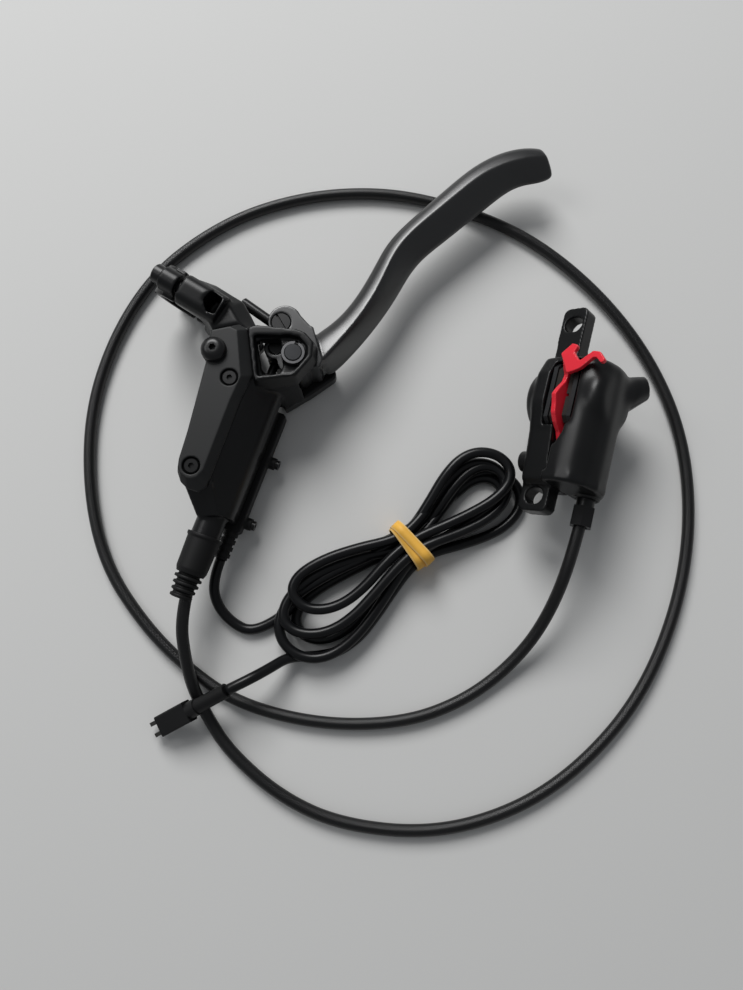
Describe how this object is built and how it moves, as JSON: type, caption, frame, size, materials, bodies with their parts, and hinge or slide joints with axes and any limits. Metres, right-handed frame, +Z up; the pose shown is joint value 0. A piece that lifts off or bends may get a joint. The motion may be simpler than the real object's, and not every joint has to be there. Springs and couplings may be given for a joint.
{
  "type": "hydraulic disc brake set",
  "caption": "Hydraulic bicycle disc brake: lever with reservoir and bar clamp, hose, two-piston caliper with pad spacer, and a coiled sensor lead.",
  "frame": {"origin": "on the surface that the set lies on, under the middle of the box of its rigid pieces", "axes": "+Z up from the surface; +X to the right and +Y away, as the set lies with the lever to the upper left and the caliper to the right"},
  "size_m": [0.2615, 0.2882, 0.0495],
  "materials": {
    "cast_housing": "satin black cast aluminium",
    "lever_metal": "satin black forged aluminium",
    "cover_plastic": "fine textured black plastic",
    "rubber": "soft matte black rubber",
    "hose_cover": "black hose cover with a fine weave",
    "cable_jacket": "smooth black cable jacket",
    "dark_steel": "black oxide steel screw",
    "bright_steel": "zinc plated steel",
    "machined_aluminium": "machined aluminium",
    "brass": "turned brass",
    "piston_resin": "moulded phenolic piston",
    "pad_lining": "rough brown-grey friction lining",
    "pad_plate": "pressed steel backing plate",
    "red_plastic": "translucent-looking red moulded plastic",
    "sensor_plastic": "fine black moulded plastic",
    "tan_rubber": "tan natural rubber",
    "plug_plastic": "black moulded plug"
  },
  "bodies": {
    "housing": {"lever_body": "cast_housing", "clamp_cap": "cast_housing", "clamp_bolts": "dark_steel", "reservoir_cover": "cover_plastic", "reservoir_diaphragm": "rubber", "cover_screws": "dark_steel", "bleed_seal": "rubber", "bleed_screw": "dark_steel", "pivot_pin": "bright_steel", "pivot_ring": "bright_steel", "return_spring": "bright_steel", "cylinder_snap_ring": "bright_steel", "lever_hose_nut": "dark_steel", "hose_boot": "rubber", "hose_olives": "brass", "hose_inserts": "brass", "sensor_housing": "sensor_plastic", "sensor_screws": "dark_steel", "sensor_relief": "rubber", "caliper_inner_half": "cast_housing", "caliper_outer_half": "cast_housing", "inner_seal": "rubber", "outer_seal": "rubber", "body_bolts": "dark_steel", "pad_pin": "bright_steel", "pad_clip": "bright_steel", "pad_spring": "bright_steel", "caliper_bleed_screw": "bright_steel", "caliper_hose_nut": "dark_steel", "pad_spacer": "red_plastic", "brake_hose": "hose_cover", "sensor_lead": "cable_jacket", "plug_lead": "cable_jacket", "lead_hank": "cable_jacket", "rubber_band": "tan_rubber", "plug_sleeve": "rubber", "plug_body": "plug_plastic", "plug_contacts": "brass"},
    "lever": {"lever_blade": "lever_metal", "reach_barrel": "dark_steel", "reach_screw": "dark_steel"},
    "rod": {"push_rod": "bright_steel"},
    "piston": {"master_piston": "machined_aluminium", "piston_cups": "rubber"},
    "inner_pad": {"inner_piston": "piston_resin", "inner_pad_plate": "pad_plate", "inner_pad_lining": "pad_lining"},
    "outer_pad": {"outer_piston": "piston_resin", "outer_pad_plate": "pad_plate", "outer_pad_lining": "pad_lining"}
  },
  "joints": [
    {"name": "lever_pull", "type": "hinge", "parent": "housing", "child": "lever", "pos_m": [-0.0408, -0.0014, 0.019], "axis": [0, 0, 1], "range_deg": [0, 25], "stiffness_Nm_per_rad": 0.4, "springref_deg": -22.92},
    {"name": "push_rod_swing", "type": "hinge", "parent": "lever", "child": "rod", "pos_m": [-0.04847, 0.00349, 0.019], "axis": [0, 0, 1], "range_deg": [-25, 0]},
    {"name": "master_piston_slide", "type": "slide", "parent": "housing", "child": "piston", "axis": [-0.342, -0.9397, 0], "range_m": [0, 0.00395], "deforming": ["return_spring"]},
    {"name": "inner_pad_slide", "type": "slide", "parent": "housing", "child": "inner_pad", "axis": [0.683, -0.183, 0.7071], "range_m": [0, 0.0005]},
    {"name": "outer_pad_slide", "type": "slide", "parent": "housing", "child": "outer_pad", "axis": [-0.683, 0.183, -0.7071], "range_m": [0, 0.0005]}
  ],
  "couplings": [
    {"joint": "push_rod_swing", "follows": "lever_pull", "ratio": -1},
    {"joint": "master_piston_slide", "follows": "lever_pull", "m_per_rad": 0.00903},
    {"joint": "inner_pad_slide", "follows": "lever_pull", "m_per_rad": 0.001145},
    {"joint": "outer_pad_slide", "follows": "lever_pull", "m_per_rad": 0.001145}
  ]
}
